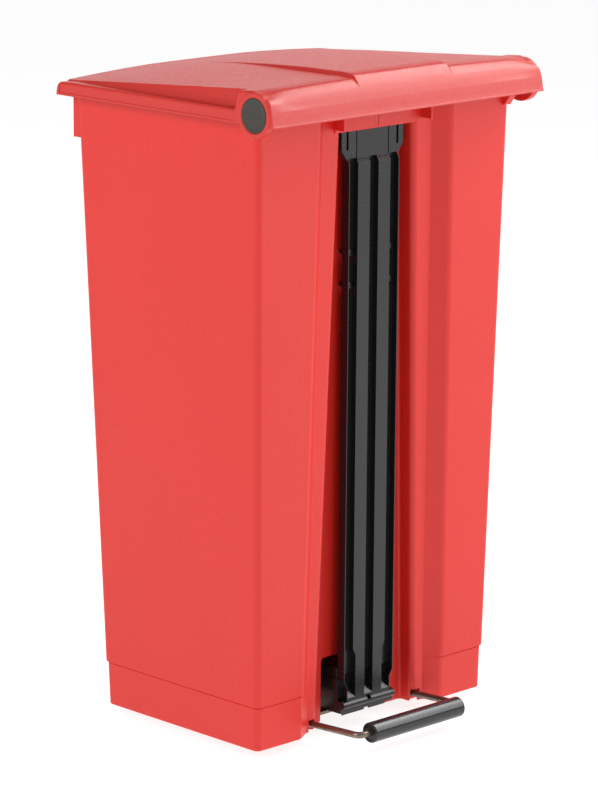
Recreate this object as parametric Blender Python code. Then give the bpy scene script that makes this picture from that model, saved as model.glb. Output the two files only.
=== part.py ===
"""Pedal bin: a tapered moulded body, a lid hinged on two plugs along its front roll, and a flat
push rod in the front recess that a wire pedal lifts.

Lengths are in metres and +Z is up. X runs along the wide front and the pedal side faces -Y. The
pieces are drawn about the middle of the body's base and then moved along Y by ORIGIN_SHIFT, so
that the origin is on the floor under the middle of the whole bin, pedal included. Heights named
"..._up" are measured from the body's bottom edge, which stands FOOT_HEIGHT above the floor.
"""

import math

import bmesh
import bpy
from mathutils import Matrix, Vector

# ---- driving dimensions -------------------------------------------------------------------
GAP = 0.0003
FOOT_HEIGHT = 0.012
ORIGIN_SHIFT = 0.0173
WALL = 0.003

# Body: straight sides that widen upwards
BODY_HEIGHT = 0.812
BASE_HALF_WIDTH = 0.2065
BASE_HALF_DEPTH = 0.1439
SIDE_TAPER = 0.0213
FRONT_TAPER = 0.0212
REAR_TAPER = 0.0362
CORNER_RADIUS = 0.0085
BAND_UP = 0.058
BAND_INSET = 0.0018

# Front recess: each value at the bottom edge, and its change per metre of height
PANEL_EDGE = (0.1281, -0.0146)
STRIP_START = (0.1055, -0.0115)
STRIP_END = (0.0957, -0.0306)
STRIP_DEPTH = (0.0148, 0.0029)
RECESS_DEPTH = (0.0368, 0.0089)
RECESS_FILLET = 0.0084
RECESS_CORNER = 0.004

# Bridge over the top of the recess, with a gusset at each end
BRIDGE_FRONT = -0.1452
BRIDGE_UP = (0.7727, 0.800)
BRIDGE_HALF = 0.0765
GUSSET_X = 0.0775
GUSSET_FRONT = -0.1628
GUSSET_UP = 0.7774

# Hinge
HINGE_Y = -0.1706
HINGE_UP = 0.8142
HINGE_Z = FOOT_HEIGHT + HINGE_UP
PIN_RADIUS = 0.0060
PIN_HEAD_RADIUS = 0.0214
PIN_HEAD_THICK = 0.0036
BARREL_RADIUS = 0.0283
BARREL_X = (0.2295, 0.2400)
LUG_X = (0.2100, 0.2220)
LUG_RADIUS = 0.014
CLIP_RADIUS = 0.0090
RUNNING_GAP = 0.0004

# Lid
LID_HALF_WIDTH = 0.2389
LID_REAR = 0.1931
LID_BOTTOM_UP = 0.8015
LID_WALL = 0.0028
LID_LEDGE_UP = 0.8190
LID_LEDGE_FRONT = -0.140
LID_PANEL_HALF = 0.2225
LID_EDGE_UP = (0.8324, -0.0697)
LID_MIDDLE_UP = 0.8483
LID_MIDDLE_FALL = (-0.110, 0.936)
LID_END_DROP = 0.003
ROLL_START = -0.166
BAND_HALF = 0.083
BAND_RAISE = 0.0045
BAND_RISER = 0.004
BAND_REAR = 0.105
CAM_REACH = (0.0095, 0.0135)
CAM_X = (0.010, 0.028)
CAM_TOP_UP = 0.8503

# Push rod (pusher); it leans forwards by PUSHER_LEAN per metre above LEAN_BASE_UP
PUSHER_FACE = -0.1350
PUSHER_PLATE_FACE = -0.1311
PUSHER_BACK = -0.1232
PUSHER_LEAN = 0.0045
LEAN_BASE_UP = 0.020
PUSHER_HALF = 0.0446
PUSHER_LOW_HALF = 0.0389
PUSHER_NECK_UP = (0.0480, 0.0575)
PUSHER_EAR_HALF = 0.0546
PUSHER_EAR_UP = (0.7340, 0.7480, 0.7710)
PUSHER_LIP = 0.0013
RIB_INNER = 0.0074
RIB_OUTER = (0.0238, 0.0287)
RIB_STEP_UP = (0.0890, 0.0980)
RIB_TOP_UP = (0.7193, 0.7353)
GROOVE_FLOOR = -0.1262
GROOVE_LOW_FLOOR = -0.1238
GROOVE_UP = (0.0335, 0.7363)
EAR_SLOT_X = (0.0424, 0.0460)
EAR_SLOT_UP = (0.7470, 0.7760)
HEAD_HALF = 0.040
HEAD_TIP = HINGE_Y + 0.0045
HEAD_UP = (0.8022, HINGE_UP - 0.0004)
FOOT_UP = (0.0136, 0.0740)
FOOT_HALF = 0.0478
FOOT_FRONT = -0.1325
FOOT_BACK = -0.016
FOOT_NOTCH = (-0.1255, 0.0300, 0.0615)
FOOT_BAR_Y = -0.1336
FOOT_BAR_UP = 0.0244
FOOT_BAR_RADIUS = 0.0049
GUIDE_UP = (0.574, 0.616)
GUIDE_X = 0.0355
GUIDE_SLOT = (0.0038, 0.0125, 0.0042)

# Pedal
PIVOT_Y = -0.098
PIVOT_UP = 0.0088
ROD_RADIUS = 0.00425
LEG_X = 0.095
PIN_END_X = 0.1115
TUBE_Y = -0.2145
TUBE_UP = 0.0146
TUBE_RADIUS = 0.0132
TUBE_WALL = 0.0031
TUBE_X = (-0.077, 0.085)
ROD_BEND = 0.009
BUSH_LENGTH = 0.012
BUSH_RECESS = 0.001
LEVER_BACK = -0.020
LEVER_CONTACT_Y = -0.0225

# Pedal housing moulded up into the floor of the body
HOUSING_LOW = (0.114, -0.124, 0.008, 0.034)
HOUSING_HIGH = (0.0610, -0.105, 0.002, 0.094)
DOOR_HALF = 0.0595
DOOR_UP = 0.0863

# Feet and rear grip
FOOT_PAD = (0.137, 0.072, 0.040)
GRIP_BACK = 0.1809
GRIP_UP = 0.747
GRIP_HALF = 0.2215

ARC_STEPS = 4

RED = (0.80, 0.075, 0.05, 1.0)
BLACK = (0.035, 0.035, 0.038, 1.0)
CAP_GREY = (0.065, 0.058, 0.048, 1.0)
STEEL = (0.26, 0.22, 0.19, 1.0)


def up(height):
    """World height of a point this far above the body's bottom edge."""
    return FOOT_HEIGHT + height


# ---- scene, materials and small tools -----------------------------------------------------
def clear_scene():
    for obj in list(bpy.data.objects):
        bpy.data.objects.remove(obj, do_unlink=True)


def collection(name):
    group = bpy.data.collections.new(name)
    bpy.context.scene.collection.children.link(group)
    return group


clear_scene()
PARTS = collection("pedal_bin")
CUTTERS = collection("cutters")


def make_material(name, color, roughness, metallic=0.0):
    material = bpy.data.materials.new(name)
    material.use_nodes = True
    shader = material.node_tree.nodes["Principled BSDF"]
    shader.inputs["Base Color"].default_value = color
    shader.inputs["Roughness"].default_value = roughness
    shader.inputs["Metallic"].default_value = metallic
    return material


BODY_PLASTIC = make_material("body_plastic", RED, 0.45)
LID_PLASTIC = make_material("lid_plastic", RED, 0.42)
BLACK_PLASTIC = make_material("black_plastic", BLACK, 0.35)
PIN_PLASTIC = make_material("pin_plastic", CAP_GREY, 0.5)
RUBBER = make_material("rubber", BLACK, 0.8)
PEDAL_STEEL = make_material("pedal_steel", STEEL, 0.4, 0.9)


def finish_mesh(name, mesh_builder, material, group=None):
    """Turns a bmesh into an object with outward faces, sharp edges kept sharp."""
    bmesh.ops.recalc_face_normals(mesh_builder, faces=mesh_builder.faces)
    mesh = bpy.data.meshes.new(name)
    mesh_builder.to_mesh(mesh)
    mesh_builder.free()
    mesh.shade_smooth()
    mesh.set_sharp_from_angle(angle=math.radians(32))
    obj = bpy.data.objects.new(name, mesh)
    (group or PARTS).objects.link(obj)
    if material:
        mesh.materials.append(material)
    return obj


def box(name, low, high, material=None, group=None):
    """An axis-aligned box between two corners."""
    builder = bmesh.new()
    size = Vector(high) - Vector(low)
    middle = (Vector(high) + Vector(low)) / 2
    matrix = Matrix.Translation(middle) @ Matrix.Diagonal((*size, 1.0))
    bmesh.ops.create_cube(builder, size=1.0, matrix=matrix)
    return finish_mesh(name, builder, material, group)


def rod_along(name, axis, start, length, radius, sides=24, material=None, group=None):
    """A round bar from start, running the given length along +X, +Y or +Z."""
    turn = {"X": Matrix.Rotation(math.pi / 2, 4, "Y"), "Y": Matrix.Rotation(-math.pi / 2, 4, "X"),
            "Z": Matrix.Identity(4)}[axis]
    builder = bmesh.new()
    matrix = Matrix.Translation(start) @ turn @ Matrix.Translation((0, 0, length / 2))
    bmesh.ops.create_cone(builder, cap_ends=True, segments=sides, radius1=radius, radius2=radius,
                          depth=length, matrix=matrix)
    return finish_mesh(name, builder, material, group)


def prism_along_x(name, outline, low_x, high_x, material=None, group=None):
    """A flat outline of (y, z) points, pushed along X."""
    builder = bmesh.new()
    base = [builder.verts.new((low_x, y, z)) for y, z in outline]
    face = builder.faces.new(base)
    pushed = bmesh.ops.extrude_face_region(builder, geom=[face])
    moved = [item for item in pushed["geom"] if isinstance(item, bmesh.types.BMVert)]
    bmesh.ops.translate(builder, verts=moved, vec=(high_x - low_x, 0, 0))
    return finish_mesh(name, builder, material, group)


def loft(name, rings, material=None, group=None):
    """A closed skin through rings of equal point counts, with a flat face on each end."""
    builder = bmesh.new()
    loops = [[builder.verts.new(point) for point in ring] for ring in rings]
    for lower, upper in zip(loops, loops[1:]):
        for index in range(len(lower)):
            after = (index + 1) % len(lower)
            builder.faces.new((lower[index], lower[after], upper[after], upper[index]))
    builder.faces.new(list(reversed(loops[0])))
    builder.faces.new(loops[-1])
    builder.normal_update()
    bmesh.ops.triangulate(builder, faces=builder.faces)
    return finish_mesh(name, builder, material, group)


def combine(target, tool, operation):
    """Cuts the tool from the target or joins it, then keeps the tool as a hidden guide."""
    modifier = target.modifiers.new(operation.lower(), "BOOLEAN")
    modifier.operation = operation
    modifier.object = tool
    bpy.context.view_layer.update()
    evaluated = target.evaluated_get(bpy.context.evaluated_depsgraph_get())
    mesh = bpy.data.meshes.new_from_object(evaluated)
    target.modifiers.clear()
    target.data = mesh
    for group in tool.users_collection:
        group.objects.unlink(tool)
    CUTTERS.objects.link(tool)
    tool.hide_render = True
    tool.display_type = "WIRE"
    return target


def cut(target, *tools):
    for tool in tools:
        combine(target, tool, "DIFFERENCE")
    return target


def join(target, *tools):
    for tool in tools:
        combine(target, tool, "UNION")
    return target


# ---- plan outline of the body --------------------------------------------------------------
def at(value, height):
    """A (value at the bottom edge, change per metre) pair at one height."""
    return value[0] + value[1] * height


def body_corners(height, band):
    """Corners of the plan outline and their radii, anticlockwise from the front left.

    Inside the lower band the outer walls stand back by the amount in band; the recess does not.
    """
    half_width = BASE_HALF_WIDTH + SIDE_TAPER * height - band
    front = -BASE_HALF_DEPTH - FRONT_TAPER * height + band
    rear = BASE_HALF_DEPTH + REAR_TAPER * height - band
    strip = front - band + at(STRIP_DEPTH, height)
    wall_x = at(STRIP_END, height) - RECESS_FILLET
    recess = front - band + at(RECESS_DEPTH, height)
    right = [
        (wall_x, recess, RECESS_CORNER),
        (wall_x, strip, RECESS_FILLET),
        (at(STRIP_START, height), strip, 0.001),
        (at(PANEL_EDGE, height), front, 0.012),
        (half_width, front, CORNER_RADIUS),
        (half_width, rear, CORNER_RADIUS),
    ]
    left = [(-x, y, radius) for x, y, radius in reversed(right)]
    return left[1:] + right + left[:1]


def left_normal(start, end):
    direction = (end - start).normalized()
    return Vector((-direction.y, direction.x))


def rounded_outline(corners, inset, height, steps=ARC_STEPS):
    """The outline moved inwards by inset, with an arc at each corner, at one world height."""
    points = [Vector((x, y)) for x, y, _ in corners]
    count = len(points)
    moved = []
    for index, point in enumerate(points):
        before = left_normal(points[index - 1], point)
        after = left_normal(point, points[(index + 1) % count])
        moved.append(point + (before + after) * inset / (1 + before.dot(after)))
    ring = []
    for index, point in enumerate(moved):
        into = (moved[index - 1] - point).normalized()
        out = (moved[(index + 1) % count] - point).normalized()
        convex = into.x * out.y - into.y * out.x < 0
        radius = max(corners[index][2] + (-inset if convex else inset), 0.0008)
        half_angle = into.angle(out) / 2
        reach = radius / math.tan(half_angle)
        centre = point + (into + out).normalized() * radius / math.sin(half_angle)
        start = point + into * reach - centre
        sweep = math.pi - 2 * half_angle
        for step in range(steps + 1):
            turn = sweep * step / steps * (1 if convex else -1)
            spoke = Matrix.Rotation(turn, 2) @ start
            ring.append((centre.x + spoke.x, centre.y + spoke.y, height))
    return ring


def body_ring(height, inset=0.0, band=0.0):
    return rounded_outline(body_corners(height, band), inset, up(height))


# ---- body ------------------------------------------------------------------------------------
def body_shell():
    """The tapered wall, lower band and floor as one skin, open at the top."""
    edge = 0.0015
    rings = [
        body_ring(0.0, edge, BAND_INSET),
        body_ring(edge, 0.0, BAND_INSET),
        body_ring(BAND_UP, 0.0, BAND_INSET),
        body_ring(BAND_UP + 0.0005),
        body_ring(BODY_HEIGHT - 0.0008),
        body_ring(BODY_HEIGHT, 0.0008),
        body_ring(BODY_HEIGHT, WALL - 0.0008),
        body_ring(BODY_HEIGHT - 0.0008, WALL),
        body_ring(WALL, WALL, BAND_INSET),
    ]
    return loft("body", rings, BODY_PLASTIC)


def mirrored_boxes(name, x_range, y_range, z_range):
    """The same box on the right and on the left."""
    (x0, x1), (y0, y1), (z0, z1) = x_range, y_range, z_range
    return [box(name + "_right", (x0, y0, z0), (x1, y1, z1)),
            box(name + "_left", (-x1, y0, z0), (-x0, y1, z1))]


def add_pedal_housing(body):
    """Raises the floor over the pedal lever and opens it to below and to the recess."""
    half, front, back, top = HOUSING_LOW
    high_half, high_front, high_back, high_top = HOUSING_HIGH
    recess_inside = -BASE_HALF_DEPTH + RECESS_DEPTH[0]
    column_x = STRIP_END[0] - RECESS_FILLET
    inside = up(0.001)
    join(body, box("housing_low", (-half - WALL, recess_inside + 0.001, inside),
                   (half + WALL, back + WALL, up(top + WALL))))
    join(body, *mirrored_boxes("housing_side", (column_x + 0.001, half + WALL),
                               (front - WALL, recess_inside + 0.002), (inside, up(top + WALL))))
    join(body, box("housing_high", (-high_half - WALL, recess_inside + 0.0012, up(top)),
                   (high_half + WALL, high_back + WALL, up(high_top + WALL))))
    below = up(-0.01)
    cut(body, box("low_void", (-half, recess_inside + WALL, below), (half, back, up(top))))
    cut(body, *mirrored_boxes("side_void", (column_x + WALL, half),
                              (front, recess_inside + 2 * WALL), (below, up(top))))
    cut(body, box("high_void", (-high_half, high_front, up(0.02)),
                  (high_half, high_back, up(high_top))))
    door = box("door", (-DOOR_HALF, recess_inside - 0.012, below),
               (DOOR_HALF, high_front + 0.004, up(DOOR_UP)))
    cut(body, bevel_door(door))
    cut(body, *mirrored_boxes("leg_slot", (LEG_X - 0.0068, LEG_X + 0.0068),
                              (-0.150, front + 0.003), (below, up(0.0165))))


def bevel_door(door):
    """Rounds the door's two top corners."""
    builder = bmesh.new()
    builder.from_mesh(door.data)
    top = [edge for edge in builder.edges
           if abs(edge.verts[0].co.x - edge.verts[1].co.x) < 1e-6
           and min(vert.co.z for vert in edge.verts) > up(DOOR_UP) - 1e-6]
    bmesh.ops.bevel(builder, geom=top, offset=0.006, segments=3, affect="EDGES", profile=0.5)
    builder.to_mesh(door.data)
    builder.free()
    return door


def add_bridge(body):
    """The bar across the recess that keeps the push rod in, and its two gussets."""
    low, high = BRIDGE_UP
    front_at_top = -BASE_HALF_DEPTH - FRONT_TAPER * BODY_HEIGHT
    join(body, box("bridge", (-BRIDGE_HALF, BRIDGE_FRONT, up(low)),
                   (BRIDGE_HALF, BRIDGE_FRONT + WALL, up(high))))
    join(body, *mirrored_boxes("gusset", (GUSSET_X - 0.0015, GUSSET_X + 0.0015),
                               (GUSSET_FRONT, front_at_top + 0.020),
                               (up(GUSSET_UP), up(BODY_HEIGHT - 0.006))))


def add_hinge_lugs(body):
    """A lug inside each end of the lid's roll, bored for the hinge pin."""
    top = up(BODY_HEIGHT)
    outline = [(-0.157, up(0.782)), (-0.1638, up(0.782)), (HINGE_Y - 0.0125, up(0.808)),
               (HINGE_Y - 0.002, up(0.827)), (-0.160, up(0.822)), (-0.157, top)]
    for side in (1, -1):
        start, end = sorted((side * LUG_X[0], side * LUG_X[1]))
        join(body, prism_along_x("lug", outline, start, end))
        join(body, rod_along("lug_boss", "X", (start, HINGE_Y, HINGE_Z), end - start, LUG_RADIUS))
        cut(body, rod_along("lug_bore", "X", (start - 0.004, HINGE_Y, HINGE_Z),
                            end - start + 0.008, PIN_RADIUS + RUNNING_GAP))


def add_rear_grip(body):
    """The turned-down grip along the top of the rear wall, open below."""
    wall_back = BASE_HALF_DEPTH + REAR_TAPER * GRIP_UP
    low, high = up(GRIP_UP), up(BODY_HEIGHT - 0.001)
    join(body, box("grip_wall", (-GRIP_HALF, GRIP_BACK - WALL, low), (GRIP_HALF, GRIP_BACK, high)))
    join(body, box("grip_top", (-GRIP_HALF, wall_back, up(BODY_HEIGHT - 0.005)),
                   (GRIP_HALF, GRIP_BACK - 0.001, high)))
    join(body, *mirrored_boxes("grip_end", (GRIP_HALF - WALL, GRIP_HALF - GAP),
                               (wall_back - 0.004, GRIP_BACK - 0.0012), (low + GAP, high - GAP)))


def add_feet(body):
    x, y, size = FOOT_PAD
    for side_x in (-1, 1):
        for side_y in (-1, 1):
            middle = Vector((side_x * x, side_y * y, 0))
            reach = Vector((size / 2, size / 2, 0))
            join(body, box("foot", middle - reach, middle + reach + Vector((0, 0, up(0.001)))))


def make_body():
    body = body_shell()
    add_pedal_housing(body)
    add_bridge(body)
    add_hinge_lugs(body)
    add_rear_grip(body)
    add_feet(body)
    return body


# ---- lid -------------------------------------------------------------------------------------
def smooth_step(value):
    value = min(max(value, 0.0), 1.0)
    return value * value * (3 - 2 * value)


def lid_panel_up(x, y):
    """Height of the lid's broad panel: straight outer edges and a crowned middle."""
    edge = LID_EDGE_UP[0] + LID_EDGE_UP[1] * y
    start, rate = LID_MIDDLE_FALL
    middle = LID_MIDDLE_UP - rate * max(y - start, 0.0) ** 3
    across = 1 - min(abs(x) / LID_PANEL_HALF, 1.0) ** 2
    in_band = 1 - (BAND_HALF / LID_PANEL_HALF) ** 2
    if across > in_band:
        across = in_band + 0.3 * (across - in_band)
    return edge + (middle - edge) * across


def band_raise(x, y):
    """Extra height of the raised centre band, which dies out over the roll and to the rear."""
    side = smooth_step((BAND_HALF + BAND_RISER / 2 - abs(x)) / BAND_RISER)
    to_rear = min(max((BAND_REAR - y) / 0.200, 0.0), 1.0) ** 1.5
    to_front = min(max((y + 0.1955) / 0.0205, 0.0), 1.0)
    return BAND_RAISE * side * to_rear * to_front


# Front roll: y, height at the lid's ends, fall below the panel in the middle, and the way in
ROLL = (
    (-0.1795, 0.8405, 0.0012, (0.15, 1.00)),
    (-0.1853, 0.8377, 0.0042, (0.40, 0.92)),
    (-0.1914, 0.8350, 0.0098, (0.60, 0.80)),
    (-0.1955, 0.8322, 0.0158, (0.78, 0.62)),
    (-0.1980, 0.8285, 0.0205, (0.92, 0.40)),
)
ROLL_FACE = ((-0.2012, 0.8197), (-0.2040, 0.8060), (-0.2051, LID_BOTTOM_UP))
PANEL_Y = (-0.150, -0.1415, -0.1385, -0.100, -0.050, 0.0, 0.050, 0.100, 0.150, 0.180)


def lid_section(x, inset):
    """The lid's outline in the plane of one X, as (y, up) points, front bottom to rear bottom."""
    bottom = LID_BOTTOM_UP - (0.02 if inset else 0.0)
    drop = LID_END_DROP if abs(x) > LID_HALF_WIDTH - inset - 0.001 else 0.0
    at_end = smooth_step((abs(x) - 0.200) / (LID_HALF_WIDTH - 0.200))
    points = [(y + inset, up_here) for y, up_here in reversed(ROLL_FACE)]
    points[0] = (points[0][0], bottom)
    top = lid_panel_up(x, ROLL_START)
    for y, end_up, fall, (into, down) in reversed(ROLL):
        middle_up = top - fall + band_raise(x, y)
        height = middle_up + (end_up - middle_up) * at_end - drop * down
        points.append((y + inset * into, height - inset * down))
    on_ledge = abs(x) > LID_PANEL_HALF + 0.0015 - inset
    for y in (ROLL_START,) + PANEL_Y:
        height = lid_panel_up(x, y) + band_raise(x, y)
        if on_ledge and y > LID_LEDGE_FRONT:
            height = LID_LEDGE_UP
        points.append((y, height - drop - inset))
    last = points[-1][1]
    rear = LID_REAR - inset
    return points + [(rear - 0.006, last - 0.0022), (rear - 0.0015, last - 0.008), (rear, bottom)]


def lid_solid(name, inset):
    """The lid's outer skin, or the hollow under it where inset is the wall."""
    half = LID_HALF_WIDTH - inset
    edge = LID_PANEL_HALF - inset
    stations = [0.0, 0.040, BAND_HALF - BAND_RISER / 2, BAND_HALF + BAND_RISER / 2, 0.115, 0.145,
                0.175, 0.200, edge, edge + 0.003, half - LID_END_DROP, half]
    rings = []
    for x in [-value for value in reversed(stations[1:])] + stations:
        rings.append([(x, y, up(z)) for y, z in reversed(lid_section(x, inset))])
    return loft(name, rings, LID_PLASTIC if not inset else None)


def make_lid():
    lid = lid_solid("lid", 0.0)
    cut(lid, lid_solid("lid_hollow", LID_WALL))
    near, far = CAM_REACH
    for side in (1, -1):
        start, end = sorted((side * BARREL_X[0], side * BARREL_X[1]))
        length = end - start
        join(lid, rod_along("barrel", "X", (start, HINGE_Y, HINGE_Z), length, BARREL_RADIUS, 40))
        cut(lid, rod_along("bore", "X", (start - 0.004, HINGE_Y, HINGE_Z), length + 0.008,
                           PIN_RADIUS + GAP))
        face = BARREL_X[1] - PIN_HEAD_THICK - 2 * GAP
        start = face if side > 0 else -face - 0.010
        cut(lid, rod_along("head_seat", "X", (start, HINGE_Y, HINGE_Z), 0.010,
                           PIN_HEAD_RADIUS + GAP, 40))
        low_x, high_x = sorted((side * CAM_X[0], side * CAM_X[1]))
        join(lid, box("cam", (low_x, HINGE_Y + near, HINGE_Z),
                      (high_x, HINGE_Y + far, up(CAM_TOP_UP))))
    return lid


# ---- hinge pins --------------------------------------------------------------------------------
def make_hinge_pin(side, label):
    """A broad round head outside the lid with a plain shank through the lug."""
    outer = BARREL_X[1] - GAP
    inner = LUG_X[0] - 0.006
    head_inner = outer - PIN_HEAD_THICK
    head_start = head_inner if side > 0 else -outer
    pin = rod_along(f"hinge_pin_{label}", "X", (head_start, HINGE_Y, HINGE_Z), PIN_HEAD_THICK,
                    PIN_HEAD_RADIUS, 40, PIN_PLASTIC)
    shank_start = inner if side > 0 else -head_inner - 0.001
    shank = rod_along("pin_shank", "X", (shank_start, HINGE_Y, HINGE_Z),
                      head_inner + 0.001 - inner, PIN_RADIUS, 24)
    return join(pin, shank)


def ring_along_x(name, start, length, axis_y, axis_z, outer, inner, material, sides=24):
    ring = rod_along(name, "X", (start, axis_y, axis_z), length, outer, sides, material)
    return cut(ring, rod_along(name + "_hole", "X", (start - 0.002, axis_y, axis_z),
                               length + 0.004, inner, sides))


# ---- push rod ------------------------------------------------------------------------------
def pusher_slab(name, outline, front, back):
    """A flat outline of (x, up) points between two Y planes."""
    builder = bmesh.new()
    base = [builder.verts.new((x, front, up(z))) for x, z in outline]
    face = builder.faces.new(base)
    pushed = bmesh.ops.extrude_face_region(builder, geom=[face])
    moved = [item for item in pushed["geom"] if isinstance(item, bmesh.types.BMVert)]
    bmesh.ops.translate(builder, verts=moved, vec=(0, back - front, 0))
    return finish_mesh(name, builder, BLACK_PLASTIC)


def mirrored(right):
    return [(-x, z) for x, z in reversed(right)]


def pusher_outline():
    """Narrow beside the foot, straight up to the ears, then drawn in to the head."""
    low, high = PUSHER_NECK_UP
    ear_low, ear_full, ear_high = PUSHER_EAR_UP
    right = [(PUSHER_LOW_HALF, FOOT_BAR_UP - 0.004), (PUSHER_LOW_HALF, low), (PUSHER_HALF, high),
             (PUSHER_HALF, ear_low), (PUSHER_EAR_HALF, ear_full), (PUSHER_EAR_HALF, ear_high),
             (HEAD_HALF + 0.004, HEAD_UP[0]), (HEAD_HALF, HEAD_UP[1])]
    return right + mirrored(right)


def groove_outlines():
    """The middle groove and the two outer ones, which widen where the ribs narrow."""
    low, high = PUSHER_NECK_UP
    bottom, top = GROOVE_UP[0] - 0.010, GROOVE_UP[1]
    middle = [(RIB_INNER, bottom), (RIB_INNER, top)]
    right = [(RIB_OUTER[0], bottom), (PUSHER_LOW_HALF - PUSHER_LIP, bottom),
             (PUSHER_LOW_HALF - PUSHER_LIP, low), (PUSHER_HALF - PUSHER_LIP, high),
             (PUSHER_HALF - PUSHER_LIP, top), (RIB_OUTER[1], top), (RIB_OUTER[1], RIB_STEP_UP[1]),
             (RIB_OUTER[0], RIB_STEP_UP[0])]
    return middle + mirrored(middle), right, mirrored(right)


def groove_cutter(outline):
    """One groove in the push rod's face, deeper beside the foot, with a ramp at its lower end."""
    low, high = GROOVE_UP
    front = PUSHER_FACE - 0.006
    profile = [(front, up(low - 0.0075)), (GROOVE_LOW_FLOOR, up(low + 0.014)),
               (GROOVE_LOW_FLOOR, up(low + 0.0265)), (GROOVE_FLOOR, up(low + 0.0305)),
               (GROOVE_FLOOR, up(high + 0.010)), (front, up(high + 0.010))]
    cutter = pusher_slab("groove", outline, front - 0.001, PUSHER_BACK)
    return combine(cutter, prism_along_x("groove_profile", profile, -0.07, 0.07), "INTERSECT")


def lean_at(height):
    """How far forwards the leaning push rod stands at one height."""
    return PUSHER_LEAN * (height - LEAN_BASE_UP)


def pusher_blade():
    """The long flat part of the push rod, with its grooves, ribs, lips and slotted ears."""
    blade = pusher_slab("pusher", pusher_outline(), PUSHER_FACE, PUSHER_BACK)
    cut(blade, *[groove_cutter(outline) for outline in groove_outlines()])
    front, top = PUSHER_FACE - 0.006, up(0.830)
    profile = [(front, up(RIB_TOP_UP[0])), (PUSHER_PLATE_FACE, up(RIB_TOP_UP[1])),
               (PUSHER_PLATE_FACE, top), (front, top)]
    cut(blade, prism_along_x("plate", profile, -0.07, 0.07))
    cut(blade, *mirrored_boxes("ear_slot", EAR_SLOT_X, (PUSHER_FACE - 0.002, PUSHER_BACK + 0.003),
                               (up(EAR_SLOT_UP[0]), up(EAR_SLOT_UP[1]))))
    lean = Matrix.Identity(4)
    lean[1][2] = -PUSHER_LEAN
    lean[1][3] = PUSHER_LEAN * up(LEAN_BASE_UP)
    blade.data.transform(lean)
    return blade


def make_pusher():
    pusher = pusher_blade()
    head_low, head_high = HEAD_UP
    join(pusher, box("head", (-HEAD_HALF + 0.001, HEAD_TIP, up(head_low)),
                     (HEAD_HALF - 0.001, PUSHER_BACK - 0.001, up(head_high - 0.0005))))
    foot_low, foot_high = FOOT_UP
    foot = box("foot_block", (-FOOT_HALF, FOOT_FRONT, up(foot_low)),
               (FOOT_HALF, FOOT_BACK, up(foot_high - 0.014)))
    notch_back, notch_low, notch_high = FOOT_NOTCH
    cut(foot, *mirrored_boxes("foot_notch", (PUSHER_LOW_HALF - 0.002, FOOT_HALF + 0.005),
                              (FOOT_FRONT - 0.010, notch_back), (up(notch_low), up(notch_high))))
    behind_grooves = PUSHER_BACK - 0.0004
    cut(foot, box("foot_clearance", (-PUSHER_LOW_HALF + 0.0009, FOOT_FRONT - 0.011, up(0.0360)),
                  (PUSHER_LOW_HALF - 0.0009, behind_grooves, up(0.0620))))
    join(pusher, foot)
    join(pusher, box("foot_tail", (-FOOT_HALF + 0.001, behind_grooves, up(0.030)),
                     (FOOT_HALF - 0.001, -0.055, up(foot_high))))
    cut(pusher, box("foot_hollow", (-FOOT_HALF + 0.004, PUSHER_BACK + 0.002, up(-0.001)),
                    (FOOT_HALF - 0.004, -0.034, up(foot_high - 0.020))))
    bar_half = FOOT_HALF - 0.0010
    join(pusher, rod_along("foot_bar", "X", (-bar_half, FOOT_BAR_Y, up(FOOT_BAR_UP)),
                           2 * bar_half, FOOT_BAR_RADIUS, 16))
    half_slot, below, above = GUIDE_SLOT
    for side in (1, -1):
        for height in GUIDE_UP:
            middle = Vector((side * GUIDE_X, GROOVE_FLOOR - lean_at(height), up(height)))
            cut(pusher, box("slot", middle - Vector((half_slot, 0.012, below)),
                            middle + Vector((half_slot, 0.012, above))))
    return pusher


def make_guide_stud(side, height, label):
    """A shoulder stud from the recess wall through a slot in the push rod."""
    wall = -BASE_HALF_DEPTH - FRONT_TAPER * height + at(RECESS_DEPTH, height)
    start = GROOVE_FLOOR - lean_at(height) - 0.0026
    stud = rod_along(f"guide_stud_{label}", "Y", (side * GUIDE_X, start, up(height)), 0.0022,
                     0.0052, 20, BLACK_PLASTIC)
    neck = rod_along("stud_neck", "Y", (side * GUIDE_X, start + 0.001, up(height)),
                     wall - GAP - start - 0.001, 0.0032, 16)
    return join(stud, neck)


# ---- pedal -----------------------------------------------------------------------------------
def arc_corner(before, corner, after, radius, steps=5):
    """Points of a round bend between two straight runs."""
    into = (before - corner).normalized()
    out = (after - corner).normalized()
    half_angle = into.angle(out) / 2
    start = corner + into * radius / math.tan(half_angle)
    end = corner + out * radius / math.tan(half_angle)
    centre = corner + (into + out).normalized() * radius / math.sin(half_angle)
    spokes = (start - centre, end - centre)
    sweep = math.pi - 2 * half_angle
    points = []
    for step in range(steps + 1):
        turn = sweep * step / steps
        first = math.sin(sweep - turn) / math.sin(sweep)
        second = math.sin(turn) / math.sin(sweep)
        points.append(centre + spokes[0] * first + spokes[1] * second)
    return points


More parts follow.
